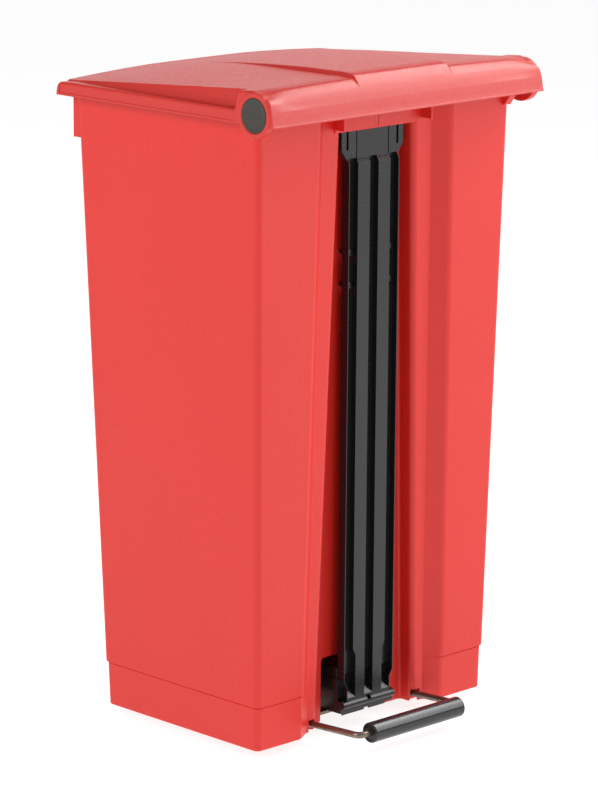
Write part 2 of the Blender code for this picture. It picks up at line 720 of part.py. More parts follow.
def make_pedal_rod():
    """One bent wire: a pivot end, a leg, the front bar, the other leg and the other pivot end."""
    pivot_z, bar_z = up(PIVOT_UP), up(TUBE_UP)
    corners = [Vector((-PIN_END_X, PIVOT_Y, pivot_z)), Vector((-LEG_X, PIVOT_Y, pivot_z)),
               Vector((-LEG_X, TUBE_Y, bar_z)), Vector((LEG_X, TUBE_Y, bar_z)),
               Vector((LEG_X, PIVOT_Y, pivot_z)), Vector((PIN_END_X, PIVOT_Y, pivot_z))]
    path = [corners[0]]
    for before, corner, after in zip(corners, corners[1:], corners[2:]):
        radius = ROD_BEND if corner.y < PIVOT_Y - 0.05 else 0.0062
        path += arc_corner(before, corner, after, radius)
    path.append(corners[-1])
    curve = bpy.data.curves.new("pedal_rod", "CURVE")
    curve.dimensions = "3D"
    curve.bevel_depth = ROD_RADIUS
    curve.bevel_resolution = 3
    curve.use_fill_caps = True
    spline = curve.splines.new("POLY")
    spline.points.add(len(path) - 1)
    for point, place in zip(spline.points, path):
        point.co = (*place, 1.0)
    curve.materials.append(PEDAL_STEEL)
    rod = bpy.data.objects.new("pedal_rod", curve)
    PARTS.objects.link(rod)
    return rod


def make_lift_lever():
    """A steel plate between the pedal's legs, with a round bar that lifts the push rod's foot."""
    edge = LEG_X - ROD_RADIUS - GAP
    lever = box("lift_lever", (-edge, PIVOT_Y - 0.0035, up(0.0068)),
                (edge, PIVOT_Y + 0.012, up(0.0108)), PEDAL_STEEL)
    join(lever, box("lever_tongue", (-0.036, PIVOT_Y + 0.002, up(0.0071)),
                    (0.036, LEVER_BACK, up(0.0105))))
    contact_z = up(FOOT_UP[0]) - GAP - 0.0028
    join(lever, rod_along("lever_bar", "X", (-0.034, LEVER_CONTACT_Y, contact_z), 0.068, 0.0028,
                          16))
    return lever


def make_pivot_block(side, label):
    """A bearing block that holds one pivot end up against the housing's ceiling."""
    half, _, _, ceiling = HOUSING_LOW
    low_x, high_x = sorted((side * (LEG_X + 0.0063), side * (half - GAP)))
    block = box(f"pivot_block_{label}", (low_x, PIVOT_Y - 0.012, up(0.0)),
                (high_x, PIVOT_Y + 0.022, up(ceiling) - GAP), BLACK_PLASTIC)
    cut(block, rod_along("block_bore", "X", (low_x - 0.002, PIVOT_Y, up(PIVOT_UP)),
                         high_x - low_x + 0.004, ROD_RADIUS + RUNNING_GAP, 20))
    screw_x = (low_x + high_x) / 2
    cut(block, rod_along("block_hole", "Z", (screw_x, PIVOT_Y + 0.0145, up(-0.004)), 0.060,
                         0.0024, 16))
    cut(block, rod_along("block_seat", "Z", (screw_x, PIVOT_Y + 0.0145, up(-0.004)), 0.008,
                         0.0044, 16))
    return block


def make_pivot_screw(side, label):
    x = side * (LEG_X + 0.0063 + HOUSING_LOW[0] - GAP) / 2
    y = PIVOT_Y + 0.0145
    screw = rod_along(f"pivot_screw_{label}", "Z", (x, y, up(0.0012)), 0.0025, 0.0040, 16,
                      PEDAL_STEEL)
    return join(screw, rod_along("shank", "Z", (x, y, up(0.002)), 0.0310, 0.0020, 12))


def make_sleeve():
    start, end = TUBE_X
    sleeve = ring_along_x("pedal_sleeve", start, end - start, TUBE_Y, up(TUBE_UP), TUBE_RADIUS,
                          TUBE_RADIUS - TUBE_WALL, BLACK_PLASTIC, 36)
    bore = ROD_RADIUS + RUNNING_GAP
    shell = TUBE_RADIUS - TUBE_WALL - GAP
    pieces = [sleeve]
    for label, low in (("left", start + BUSH_RECESS), ("right", end - BUSH_RECESS - BUSH_LENGTH)):
        pieces.append(ring_along_x(f"sleeve_bush_{label}", low, BUSH_LENGTH, TUBE_Y, up(TUBE_UP),
                                   shell, bore, BLACK_PLASTIC, 24))
    return pieces


# ---- small lid pieces ----------------------------------------------------------------------
def make_lid_buffer(side, label):
    """A rubber pad under the lid's rear corner that lands on the rim."""
    x, y = side * 0.130, 0.1725
    ceiling = min(lid_panel_up(x + dx, y + 0.003) for dx in (-0.02, 0.02)) - LID_WALL - 0.0006
    return box(f"lid_buffer_{label}", (x - 0.018, y - 0.003, up(BODY_HEIGHT) + GAP),
               (x + 0.018, y + 0.003, up(ceiling)), RUBBER)


def put_origin(obj, place):
    """Moves an object's origin without moving its mesh."""
    offset = Vector(place)
    if obj.type == "MESH":
        obj.data.transform(Matrix.Translation(-offset))
    else:
        for point in obj.data.splines[0].points:
            point.co = (*(Vector(point.co[:3]) - offset), 1.0)
    obj.location = offset


def make_bin():
    make_body()
    put_origin(make_lid(), (0.0, HINGE_Y, HINGE_Z))
    put_origin(make_pusher(), (0.0, PUSHER_BACK, up(0.0)))
    for side, label in ((-1, "left"), (1, "right")):
        make_hinge_pin(side, label)
        low_x = min(side * (LUG_X[0] - 0.0035), side * (LUG_X[0] - 0.0008))
        ring_along_x(f"hinge_clip_{label}", low_x, 0.0027, HINGE_Y, HINGE_Z, CLIP_RADIUS,
                     PIN_RADIUS + GAP, PEDAL_STEEL)
        make_pivot_block(side, label)
        make_pivot_screw(side, label)
        make_lid_buffer(side, label)
        for height, level in zip(GUIDE_UP, ("low", "high")):
            make_guide_stud(side, height, f"{level}_{label}")
    put_origin(make_pedal_rod(), (0.0, PIVOT_Y, up(PIVOT_UP)))
    put_origin(make_lift_lever(), (0.0, PIVOT_Y, up(PIVOT_UP)))
    for piece in make_sleeve():
        put_origin(piece, (0.0, TUBE_Y, up(TUBE_UP)))
    for obj in PARTS.objects:
        obj.location.y += ORIGIN_SHIFT


make_bin()
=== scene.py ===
"""Visual model of the pedal bin: finer meshes and moulded-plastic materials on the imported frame.

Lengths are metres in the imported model's frame. Shapes are drawn about the middle of the body's
base and its bottom edge, then moved by PLACE.
"""
import math

import bmesh
import bpy
from mathutils import Matrix, Vector


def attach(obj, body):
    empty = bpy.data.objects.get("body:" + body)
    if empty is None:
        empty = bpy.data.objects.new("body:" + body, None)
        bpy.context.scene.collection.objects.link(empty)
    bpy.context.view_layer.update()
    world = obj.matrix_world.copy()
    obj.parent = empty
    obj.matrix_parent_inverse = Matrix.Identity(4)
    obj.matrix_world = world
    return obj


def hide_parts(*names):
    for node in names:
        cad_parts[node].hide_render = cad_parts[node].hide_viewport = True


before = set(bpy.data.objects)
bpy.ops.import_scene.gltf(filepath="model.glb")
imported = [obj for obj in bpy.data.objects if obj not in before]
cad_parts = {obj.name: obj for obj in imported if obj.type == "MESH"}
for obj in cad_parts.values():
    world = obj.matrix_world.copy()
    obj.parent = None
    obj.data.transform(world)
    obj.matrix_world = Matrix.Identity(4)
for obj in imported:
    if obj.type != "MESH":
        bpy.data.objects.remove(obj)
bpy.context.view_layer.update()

PLACE = Vector((0.0, 0.0173, 0.012))
GAP = 0.0003
WALL = 0.003
BODY_HEIGHT = 0.812
BAND_UP = 0.058
BAND_INSET = 0.0018
LINE_DEPTH = 0.0008
HINGE_Y, HINGE_UP = -0.1706, 0.8142
PIN_RADIUS = 0.0060
PIN_HOLE = PIN_RADIUS + GAP

# the body's tapers: (value at the base, change per metre of height)
HALF_WIDTH = (0.2065, 0.0213)
FRONT_Y = (-0.1439, -0.0212)
REAR_Y = (0.1439, 0.0362)
CHAMFER_HALF = (0.1281, -0.0146)
STRIP_HALF = (0.1055, -0.0115)
STRIP_DEPTH = (0.0148, 0.0029)
RECESS_HALF = (0.0957, -0.0306)
RECESS_DEPTH = (0.0368, 0.0089)
CORNER_ROUND, CHAMFER_ROUND, STRIP_ROUND, RECESS_ROUND = 0.0085, 0.014, 0.0084, 0.004


# ---- mesh tools ----------------------------------------------------------------------------
def new_object(name, builder, material=None):
    """A bmesh as an object, with its faces outward and smooth across all but sharp edges."""
    bmesh.ops.recalc_face_normals(builder, faces=builder.faces)
    mesh = bpy.data.meshes.new(name)
    builder.to_mesh(mesh)
    builder.free()
    obj = bpy.data.objects.new(name, mesh)
    bpy.context.scene.collection.objects.link(obj)
    if material:
        mesh.materials.append(material)
    mesh.shade_smooth()
    mesh.set_sharp_from_angle(angle=math.radians(32))
    return obj


def box(low, high, round_by=0.0006, segments=2):
    """A box between two corners with every edge rounded."""
    builder = bmesh.new()
    size = Vector(high) - Vector(low)
    middle = (Vector(high) + Vector(low)) / 2
    bmesh.ops.create_cube(builder, size=1.0,
                          matrix=Matrix.Translation(middle) @ Matrix.Diagonal((*size, 1.0)))
    if round_by:
        bmesh.ops.bevel(builder, geom=builder.edges[:], offset=round_by, segments=segments,
                        profile=0.5, affect="EDGES")
    return new_object("tool", builder)


def loft(rings, name="tool", material=None):
    """A closed solid through rings that all have the same number of points."""
    builder = bmesh.new()
    loops = [[builder.verts.new(point) for point in ring] for ring in rings]
    count = len(loops[0])
    for lower, upper in zip(loops, loops[1:]):
        for index in range(count):
            after = (index + 1) % count
            builder.faces.new((lower[index], lower[after], upper[after], upper[index]))
    builder.faces.new(list(reversed(loops[0])))
    builder.faces.new(loops[-1])
    builder.normal_update()
    bmesh.ops.triangulate(builder, faces=builder.faces)
    return new_object(name, builder, material)


def prism(outline, axis, low, high, round_by=0.0, name="tool", material=None):
    """A flat outline pushed along X (outline in y, z) or along Y (outline in x, z)."""
    builder = bmesh.new()
    if axis == "X":
        base = [builder.verts.new((low, a, b)) for a, b in outline]
        push = (high - low, 0, 0)
    else:
        base = [builder.verts.new((a, low, b)) for a, b in outline]
        push = (0, high - low, 0)
    face = builder.faces.new(base)
    pushed = bmesh.ops.extrude_face_region(builder, geom=[face])
    moved = [item for item in pushed["geom"] if isinstance(item, bmesh.types.BMVert)]
    bmesh.ops.translate(builder, verts=moved, vec=push)
    if round_by:
        bmesh.ops.recalc_face_normals(builder, faces=builder.faces)
        bmesh.ops.bevel(builder, geom=builder.edges[:], offset=round_by, segments=2, profile=0.5,
                        affect="EDGES", clamp_overlap=True)
    return new_object(name, builder, material)


def turned(profile, axis, place, sides=48, name="tool", material=None):
    """A solid of (along, radius) points about an axis line: closed on the axis, or else a ring."""
    builder = bmesh.new()
    rings = []
    for along, radius in profile:
        ring = []
        for index in range(sides if radius > 0 else 1):
            angle = 2 * math.pi * index / sides
            a, b = radius * math.cos(angle), radius * math.sin(angle)
            point = {"X": (along, a, b), "Y": (a, along, b), "Z": (a, b, along)}[axis]
            ring.append(builder.verts.new(Vector(point) + Vector(place)))
        rings.append(ring)
    is_ring = profile[0][1] > 0
    for first, second in zip(rings, rings[1:] + rings[:1] if is_ring else rings[1:]):
        for index in range(sides):
            after = (index + 1) % sides
            corners = [first[index % len(first)], first[after % len(first)],
                       second[after % len(second)], second[index % len(second)]]
            builder.faces.new(list(dict.fromkeys(corners)))
    return new_object(name, builder, material)


def rounded_profile(points, radius=0.0006, steps=2):
    """Rounds the corners of an (along, radius) line, so turned pieces have soft edges."""
    result = [points[0]]
    for before, corner, after in zip(points, points[1:], points[2:]):
        corner_v = Vector(corner)
        into, out = Vector(before) - corner_v, Vector(after) - corner_v
        reach = min(radius, into.length * 0.45, out.length * 0.45)
        start, end = corner_v + into.normalized() * reach, corner_v + out.normalized() * reach
        for step in range(steps + 1):
            share = step / steps
            point = start.lerp(corner_v, share).lerp(corner_v.lerp(end, share), share)
            result.append((point.x, max(point.y, 0.0)))
    result.append(points[-1])
    return result


def combine(target, tool, operation):
    """Applies one Boolean to target and deletes the tool."""
    modifier = target.modifiers.new("combine", "BOOLEAN")
    modifier.operation = operation
    modifier.object = tool
    bpy.context.view_layer.update()
    evaluated = target.evaluated_get(bpy.context.evaluated_depsgraph_get())
    mesh = bpy.data.meshes.new_from_object(evaluated)
    target.modifiers.clear()
    old = target.data
    target.data = mesh
    bpy.data.meshes.remove(old)
    tool_mesh = tool.data
    bpy.data.objects.remove(tool, do_unlink=True)
    bpy.data.meshes.remove(tool_mesh)
    return target


def cut(target, *tools):
    for tool in tools:
        combine(target, tool, "DIFFERENCE")
    return target


def join(target, *tools):
    for tool in tools:
        combine(target, tool, "UNION")
    return target


def done(obj, body, replaced, sharp=30, soften=0.0):
    """Places a finished piece, softens its hard edges and hands it to its body."""
    mesh = obj.data
    mesh.transform(Matrix.Translation(PLACE))
    mesh.shade_smooth()
    mesh.set_sharp_from_angle(angle=math.radians(sharp))
    if soften:
        modifier = obj.modifiers.new("soften", "BEVEL")
        modifier.width = soften
        modifier.segments = 2
        modifier.limit_method = "ANGLE"
        modifier.angle_limit = math.radians(38)
    weighted = obj.modifiers.new("weighted", "WEIGHTED_NORMAL")
    weighted.keep_sharp = True
    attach(obj, body)
    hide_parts(replaced)


# ---- materials -----------------------------------------------------------------------------
def plastic(name, color, dark, roughness, grain, bump, mottle=0.10):
    """Moulded plastic: fine pebbled grain, faint flow marks and a worn, uneven sheen."""
    material = bpy.data.materials.new(name)
    material.use_nodes = True
    tree = material.node_tree
    nodes, links = tree.nodes, tree.links
    shader = nodes["Principled BSDF"]
    coords = nodes.new("ShaderNodeTexCoord")

    def noise(scale, detail, rough=0.55):
        node = nodes.new("ShaderNodeTexNoise")
        node.inputs["Scale"].default_value = scale
        node.inputs["Detail"].default_value = detail
        node.inputs["Roughness"].default_value = rough
        links.new(coords.outputs["Object"], node.inputs["Vector"])
        return node

    cloudy = noise(7.0, 4.0)
    speckle = noise(grain * 0.35, 3.0, 0.7)
    fine = noise(grain, 2.0, 0.6)
    pebble = nodes.new("ShaderNodeTexVoronoi")
    pebble.inputs["Scale"].default_value = grain * 0.8
    links.new(coords.outputs["Object"], pebble.inputs["Vector"])

    blend = nodes.new("ShaderNodeMath")
    blend.operation = "MULTIPLY_ADD"
    links.new(cloudy.outputs["Fac"], blend.inputs[0])
    blend.inputs[1].default_value = 0.6
    links.new(speckle.outputs["Fac"], blend.inputs[2])
    ramp = nodes.new("ShaderNodeMapRange")
    ramp.inputs["From Min"].default_value = 0.55
    ramp.inputs["From Max"].default_value = 1.05
    ramp.inputs["To Min"].default_value = 0.0
    ramp.inputs["To Max"].default_value = mottle * 4
    links.new(blend.outputs[0], ramp.inputs["Value"])
    mix = nodes.new("ShaderNodeMix")
    mix.data_type = "RGBA"
    mix.inputs[6].default_value = color
    mix.inputs[7].default_value = dark
    links.new(ramp.outputs["Result"], mix.inputs[0])
    links.new(mix.outputs[2], shader.inputs["Base Color"])

    sheen = nodes.new("ShaderNodeMapRange")
    sheen.inputs["From Min"].default_value = 0.3
    sheen.inputs["From Max"].default_value = 0.7
    sheen.inputs["To Min"].default_value = roughness - 0.06
    sheen.inputs["To Max"].default_value = roughness + 0.06
    links.new(speckle.outputs["Fac"], sheen.inputs["Value"])
    links.new(sheen.outputs["Result"], shader.inputs["Roughness"])

    height = nodes.new("ShaderNodeMath")
    height.operation = "MULTIPLY_ADD"
    links.new(pebble.outputs["Distance"], height.inputs[0])
    height.inputs[1].default_value = 0.5
    links.new(fine.outputs["Fac"], height.inputs[2])
    relief = nodes.new("ShaderNodeBump")
    relief.inputs["Strength"].default_value = bump
    relief.inputs["Distance"].default_value = 0.0004
    links.new(height.outputs[0], relief.inputs["Height"])
    links.new(relief.outputs["Normal"], shader.inputs["Normal"])
    return material


def steel(name, color, roughness):
    """Dull drawn wire with long faint die marks and small patches of tarnish."""
    material = plastic(name, color, (0.05, 0.035, 0.025, 1.0), roughness, 420.0, 0.25, 0.16)
    shader = material.node_tree.nodes["Principled BSDF"]
    shader.inputs["Metallic"].default_value = 0.85
    return material


RED = plastic("red_body", (0.76, 0.026, 0.017, 1), (0.66, 0.016, 0.010, 1), 0.43, 620.0, 0.34)
RED_LID = plastic("red_lid", (0.66, 0.030, 0.020, 1), (0.57, 0.018, 0.012, 1), 0.37, 560.0, 0.36)
BLACK = plastic("black_moulding", (0.0085, 0.0080, 0.0095, 1), (0.006, 0.0055, 0.0065, 1), 0.29,
                1100.0, 0.03)
CAP = plastic("dark_cap", (0.040, 0.034, 0.027, 1), (0.028, 0.024, 0.019, 1), 0.48, 1300.0, 0.15)
GRIP = plastic("sleeve_black", (0.016, 0.016, 0.018, 1), (0.010, 0.010, 0.011, 1), 0.20,
               1200.0, 0.03)
SOFT = plastic("buffer_rubber", (0.030, 0.030, 0.030, 1), (0.018, 0.018, 0.018, 1), 0.75,
               900.0, 0.35)
WIRE = steel("dull_wire", (0.27, 0.22, 0.18, 1.0), 0.38)


# ---- body ----------------------------------------------------------------------------------
def smooth_step(value):
    """An S-curve from 0 to 1, flat outside that range."""
    value = min(max(value, 0.0), 1.0)
    return value * value * (3 - 2 * value)


def at(line, along):
    """A straight line's value: its value at nought plus its change per metre."""
    start, per_metre = line
    return start + per_metre * along


def body_corners(height, band):
    """Plan corners with their radii at one height, anticlockwise from the front left."""
    half = at(HALF_WIDTH, height) - band
    front = at(FRONT_Y, height)
    rear = at(REAR_Y, height) - band
    strip = front + at(STRIP_DEPTH, height)
    wall_x = at(RECESS_HALF, height) - STRIP_ROUND
    right = [(wall_x, front + at(RECESS_DEPTH, height), RECESS_ROUND),
             (wall_x, strip, STRIP_ROUND),
             (at(STRIP_HALF, height), strip, 0.003),
             (at(CHAMFER_HALF, height), front + band, CHAMFER_ROUND),
             (half, front + band, CORNER_ROUND), (half, rear, CORNER_ROUND)]
    left = [(-x, y, radius) for x, y, radius in reversed(right)]
    return left[1:] + right + left[:1]


def left_normal(start, end):
    direction = (end - start).normalized()
    return Vector((-direction.y, direction.x))


def body_ring(height, inset=0.0, band=0.0, steps=9):
    """The plan outline moved inwards by inset, with an arc at each corner."""
    corners = body_corners(height, band)
    points = [Vector((x, y)) for x, y, _ in corners]
    count = len(points)
    moved = []
    for index, point in enumerate(points):
        before = left_normal(points[index - 1], point)
        after = left_normal(point, points[(index + 1) % count])
        moved.append(point + (before + after) * inset / (1 + before.dot(after)))
    ring = []
    for index, point in enumerate(moved):
        into = (moved[index - 1] - point).normalized()
        out = (moved[(index + 1) % count] - point).normalized()
        convex = into.x * out.y - into.y * out.x < 0
        radius = max(corners[index][2] + (-inset if convex else inset), 0.0008)
        half_angle = into.angle(out) / 2
        centre = point + (into + out).normalized() * radius / math.sin(half_angle)
        start = point + into * radius / math.tan(half_angle) - centre
        sweep = math.pi - 2 * half_angle
        for step in range(steps + 1):
            spoke = Matrix.Rotation(sweep * step / steps * (1 if convex else -1), 2) @ start
            ring.append((centre.x + spoke.x, centre.y + spoke.y, height))
    return ring


def both_sides(x_range, y_range, z_range, round_by):
    """A box on the right and its mirror image on the left."""
    (x0, x1), (y0, y1), (z0, z1) = x_range, y_range, z_range
    return [box((x0, y0, z0), (x1, y1, z1), round_by), box((-x1, y0, z0), (-x0, y1, z1), round_by)]


RECESS_WALL_Y, COLUMN_X = -0.1071, 0.0873      # the recess's walls near the base
HOUSING_HALF, HOUSING_TOP = 0.117, 0.037
FOOT_ROOM_HALF, FOOT_ROOM_TOP = 0.064, 0.097
DOOR_HALF, DOOR_TOP, DOOR_ROUND = 0.0595, 0.0863, 0.006
WIRE_SLOT_X, WIRE_SLOT_TOP = (0.0882, 0.1018), 0.0165
BRIDGE_HALF, BRIDGE_FRONT, BRIDGE_UP = 0.0765, -0.1452, (0.7727, 0.800)
GUSSET_X, GUSSET_UP = (0.076, 0.079), (0.7774, 0.806)
LUG_X, EYE_RADIUS = (0.2100, 0.2220), 0.014
GRIP_HALF, GRIP_FACE, GRIP_UP = 0.2215, 0.1809, (0.747, 0.811)
PAD_HALF, PAD_X, PAD_Y = 0.020, 0.137, 0.072
BELOW = -0.01                                  # start of a cutter that opens downwards


def body_rings():
    """Plan outlines from the rounded foot up over the rim and down the inside."""
    return [
        body_ring(0.0, 0.0016, BAND_INSET), body_ring(0.0004, 0.0007, BAND_INSET),
        body_ring(0.0013, 0.0001, BAND_INSET), body_ring(0.0024, 0.0, BAND_INSET),
        body_ring(BAND_UP - 0.0018, 0.0, BAND_INSET),
        body_ring(BAND_UP - 0.0014, 0.0, BAND_INSET + LINE_DEPTH),
        body_ring(BAND_UP - 0.0002, 0.0, BAND_INSET + LINE_DEPTH),
        body_ring(BAND_UP + 0.0001, 0.0, BAND_INSET * 0.75),
        body_ring(BAND_UP + 0.0002, 0.0, BAND_INSET * 0.35),
        body_ring(BAND_UP + 0.0006, 0.0, BAND_INSET * 0.08), body_ring(BAND_UP + 0.0014),
        body_ring(0.300), body_ring(0.560),
        body_ring(BODY_HEIGHT - 0.0016), body_ring(BODY_HEIGHT - 0.0005, 0.0004),
        body_ring(BODY_HEIGHT, 0.0014), body_ring(BODY_HEIGHT, WALL - 0.0008),
        body_ring(BODY_HEIGHT - 0.0008, WALL), body_ring(WALL + 0.004, WALL, BAND_INSET),
        body_ring(WALL, WALL + 0.003, BAND_INSET),
    ]


def add_lever_housing(body):
    """The raised floor over the pedal lever, open below and towards the recess."""
    wall = RECESS_WALL_Y
    join(body, box((-HOUSING_HALF, wall + 0.001, 0.001), (HOUSING_HALF, 0.011, HOUSING_TOP), 0.0))
    join(body, *both_sides((COLUMN_X + 0.001, HOUSING_HALF), (-0.127, wall + 0.002),
                           (0.001, HOUSING_TOP), 0.0))
    join(body, box((-FOOT_ROOM_HALF, wall + 0.0012, HOUSING_TOP - WALL),
                   (FOOT_ROOM_HALF, 0.005, FOOT_ROOM_TOP), 0.0))
    inner, ceiling = HOUSING_HALF - WALL, HOUSING_TOP - WALL
    cut(body, box((-inner, wall + WALL, BELOW), (inner, 0.008, ceiling), 0.0))
    cut(body, *both_sides((COLUMN_X + WALL, inner), (-0.124, wall + 0.006), (BELOW, ceiling), 0.0))
    cut(body, box((WALL - FOOT_ROOM_HALF, -0.105, 0.02),
                  (FOOT_ROOM_HALF - WALL, 0.002, FOOT_ROOM_TOP - WALL), 0.0))


def cut_recess_openings(body):
    """The round-topped door for the push rod's foot, and the slots for the pedal wire."""
    door = [(-DOOR_HALF, BELOW), (DOOR_HALF, BELOW)]
    for start, sign in ((0, 1), (90, -1)):
        for step in range(6):
            angle = math.radians(start + 18 * step)
            door.append((sign * (DOOR_HALF - DOOR_ROUND) + DOOR_ROUND * math.cos(angle),
                         DOOR_TOP - DOOR_ROUND + DOOR_ROUND * math.sin(angle)))
    cut(body, prism(door, "Y", RECESS_WALL_Y - 0.012, -0.101))
    cut(body, *both_sides(WIRE_SLOT_X, (-0.150, -0.121), (BELOW, WIRE_SLOT_TOP), 0.0))


def add_bridge(body):
    """The bridge over the recess with its middle rib, and a gusset at each side."""
    low, high = BRIDGE_UP
    join(body, box((-BRIDGE_HALF, BRIDGE_FRONT, low), (BRIDGE_HALF, BRIDGE_FRONT + 0.0031, high),
                   0.0009))
    join(body, box((-0.0007, BRIDGE_FRONT - 0.0006, low + 0.0010),
                   (0.0007, BRIDGE_FRONT + 0.0012, high - 0.0015), 0.0002))
    gusset_back = at(FRONT_Y, BODY_HEIGHT) + 0.020
    join(body, *both_sides(GUSSET_X, (-0.1628, gusset_back), GUSSET_UP, 0.0007))


def add_hinge_lugs(body):
    """Lugs inside the ends of the lid's roll, bored for the hinge pins."""
    outline = [(-0.157, 0.782), (-0.1638, 0.782), (HINGE_Y - 0.0125, 0.808),
               (HINGE_Y - 0.002, 0.827), (-0.160, 0.822), (-0.157, 0.812)]
    hinge = (0, HINGE_Y, HINGE_UP)
    bore = PIN_RADIUS + 0.0004
    for side in (1, -1):
        start, end = sorted(side * x for x in LUG_X)
        join(body, prism(outline, "X", start, end, 0.0005))
        eye = [(start, 0), (start, EYE_RADIUS), (end, EYE_RADIUS), (end, 0)]
        join(body, turned(rounded_profile(eye), "X", hinge))
        start, end = start - 0.004, end + 0.004
        cut(body, turned([(start, 0), (start, bore), (end, bore), (end, 0)], "X", hinge, 32))


def add_rear_grip(body):
    """A turned-down grip along the top of the rear wall, open below."""
    half = GRIP_HALF
    low, high = GRIP_UP
    rear = at(REAR_Y, low)
    join(body, box((-half, GRIP_FACE - WALL, low), (half, GRIP_FACE, high), 0.0008))
    join(body, box((-half, rear, high - 0.004), (half, GRIP_FACE - 0.0010, high), 0.0))
    join(body, *both_sides((half - WALL, half - GAP), (rear - 0.004, GRIP_FACE - 0.0012),
                           (low + GAP, high - GAP), 0.0003))


def add_foot_pads(body):
    """Four pads under the base, which stand on the floor."""
    for x in (-PAD_X, PAD_X):
        for y in (-PAD_Y, PAD_Y):
            join(body, box((x - PAD_HALF, y - PAD_HALF, -PLACE.z),
                           (x + PAD_HALF, y + PAD_HALF, 0.001), 0.0015, 3))


def make_body():
    body = loft(body_rings(), "bin_body", RED)
    add_lever_housing(body)
    cut_recess_openings(body)
    add_bridge(body)
    add_hinge_lugs(body)
    add_rear_grip(body)
    add_foot_pads(body)
    done(body, "body", "body")


# ---- lid -----------------------------------------------------------------------------------
LID_HALF, LID_REAR, LID_BOTTOM = 0.2389, 0.1931, 0.8015
LID_WALL = 0.0028
END_ROUND = 0.003
PANEL_HALF = 0.2225
PANEL_FRONT = -0.166
PANEL_EDGE = (0.8324, -0.0697)       # height of the straight side edges, change per metre of y
CROWN_TOP, CROWN_FROM, CROWN_FALL = 0.8483, -0.110, 0.936
BAND_HALF, BAND_RISE = 0.085, 0.0045
LEDGE_UP = 0.8190
BARREL_X, BARREL_RADIUS = (0.2295, 0.2400), 0.0283
HEAD_RADIUS, HEAD_SEAT = 0.0214, 0.0042
CAM_X, CAM_TOP = (0.010, 0.028), 0.8503
NOTCH_X, NOTCH_Y, NOTCH_UP = (0.2380, 0.260), (-0.1335, 0.1880), (0.8042, 0.8150)


def panel_height(x, y):
    """The lid's broad panel: straight edges and a crown that is flatter under the raised band."""
    edge = at(PANEL_EDGE, y)
    middle = CROWN_TOP - CROWN_FALL * max(y - CROWN_FROM, 0.0) ** 3
    across = 1 - min(abs(x) / PANEL_HALF, 1.0) ** 2
    in_band = 1 - ((BAND_HALF - 0.002) / PANEL_HALF) ** 2
    if across > in_band:
        across = in_band + 0.3 * (across - in_band)
    return edge + (middle - edge) * across


def band_raise(x, y):
    """How far the middle band stands up; it fades out towards the rear and over the roll."""
    side = smooth_step((BAND_HALF - abs(x)) / 0.0035)
    to_rear = min(max((0.105 - y) / 0.200, 0.0), 1.0) ** 1.5
    to_front = smooth_step((y + 0.1965) / 0.0225)
    return BAND_RISE * side * to_rear * to_front


# the rolled front edge: y, height at the lid's ends, fall below the panel in the middle, and the
# direction (backwards, down) in which the inner surface lies
ROLL = ((-0.1795, 0.8405, 0.0012, (0.15, 1.00)), (-0.1853, 0.8377, 0.0042, (0.40, 0.92)),
        (-0.1914, 0.8350, 0.0098, (0.60, 0.80)), (-0.1955, 0.8322, 0.0158, (0.78, 0.62)),
        (-0.1980, 0.8285, 0.0205, (0.92, 0.40)))
# the face below the roll, down to a small lip that turns outwards: y, height
FACE = ((-0.2012, 0.8197), (-0.2028, 0.8115), (-0.2036, 0.8054), (-0.2051, 0.8036),
        (-0.2053, LID_BOTTOM + 0.0012), (-0.2044, LID_BOTTOM))


def curve_through(points, steps=3):
    """A smooth line through points."""
    result = []
    for index in range(len(points) - 1):
        a, b = points[max(index - 1, 0)], points[index]
        c, d = points[index + 1], points[min(index + 2, len(points) - 1)]
        for step in range(steps):
            t = step / steps
            result.append(tuple(
                0.5 * ((2 * q) + (-p + r) * t + (2 * p - 5 * q + 4 * r - s) * t * t
                       + (-p + 3 * q - 3 * r + s) * t ** 3)
                for p, q, r, s in zip(a, b, c, d)))
    result.append(points[-1])
    return result


# places along y, close together where the panel's ends drop to the ledge
PANEL_Y = ([PANEL_FRONT, -0.160, -0.153, -0.147] + [-0.1450 + 0.001 * i for i in range(11)]
           + [-0.132, -0.127] + [-0.120 + 0.015 * i for i in range(20)])


def lid_section(x, inset):
    """Outline in y and height across the lid at one x, moved inwards by inset."""
    edge = (abs(x) - (LID_HALF - inset - END_ROUND)) / END_ROUND
    drop = END_ROUND * (1 - math.sqrt(max(1 - min(max(edge, 0.0), 1.0) ** 2, 0.0)))
    at_end = smooth_step((abs(x) - 0.200) / (LID_HALF - 0.200))
    top = panel_height(x, PANEL_FRONT)
    roll = [(PANEL_FRONT, top + band_raise(x, PANEL_FRONT) - drop - inset)]
    for y, end_up, fall, (into, down) in ROLL:
        middle_up = top - fall + band_raise(x, y)
        height = middle_up + (end_up - middle_up) * at_end - drop * down
        roll.append((y + inset * into, height - inset * down))
    face = [(y + inset, height) for y, height in FACE]
    bottom = LID_BOTTOM
    if inset:
        # the cutter for the hollow goes straight down, past the lid's lower edge
        bottom = LID_BOTTOM - 0.02
        straight = FACE[4][0] + inset
        face = face[:3] + [(FACE[3][0] + inset, 0.800), (straight, bottom + 0.001),
                           (straight, bottom)]
    points = list(reversed(curve_through(roll + face[:1]) + face[1:]))
    wedge_x = smooth_step((abs(x) + inset - 0.2222) / 0.0034)
    for y in PANEL_Y[1:]:
        height = panel_height(x, y) + band_raise(x, y)
        on_ledge = wedge_x * smooth_step((y + 0.1450) / 0.010)
        height += (LEDGE_UP - height) * on_ledge
        points.append((y, height - drop - inset))
    last = points[-1][1]
    rear = LID_REAR - inset
    points += [(rear - 0.0060, last - 0.0010), (rear - 0.0034, last - 0.0026),
               (rear - 0.0016, last - 0.0052), (rear - 0.0006, last - 0.0095), (rear, bottom)]
    return points


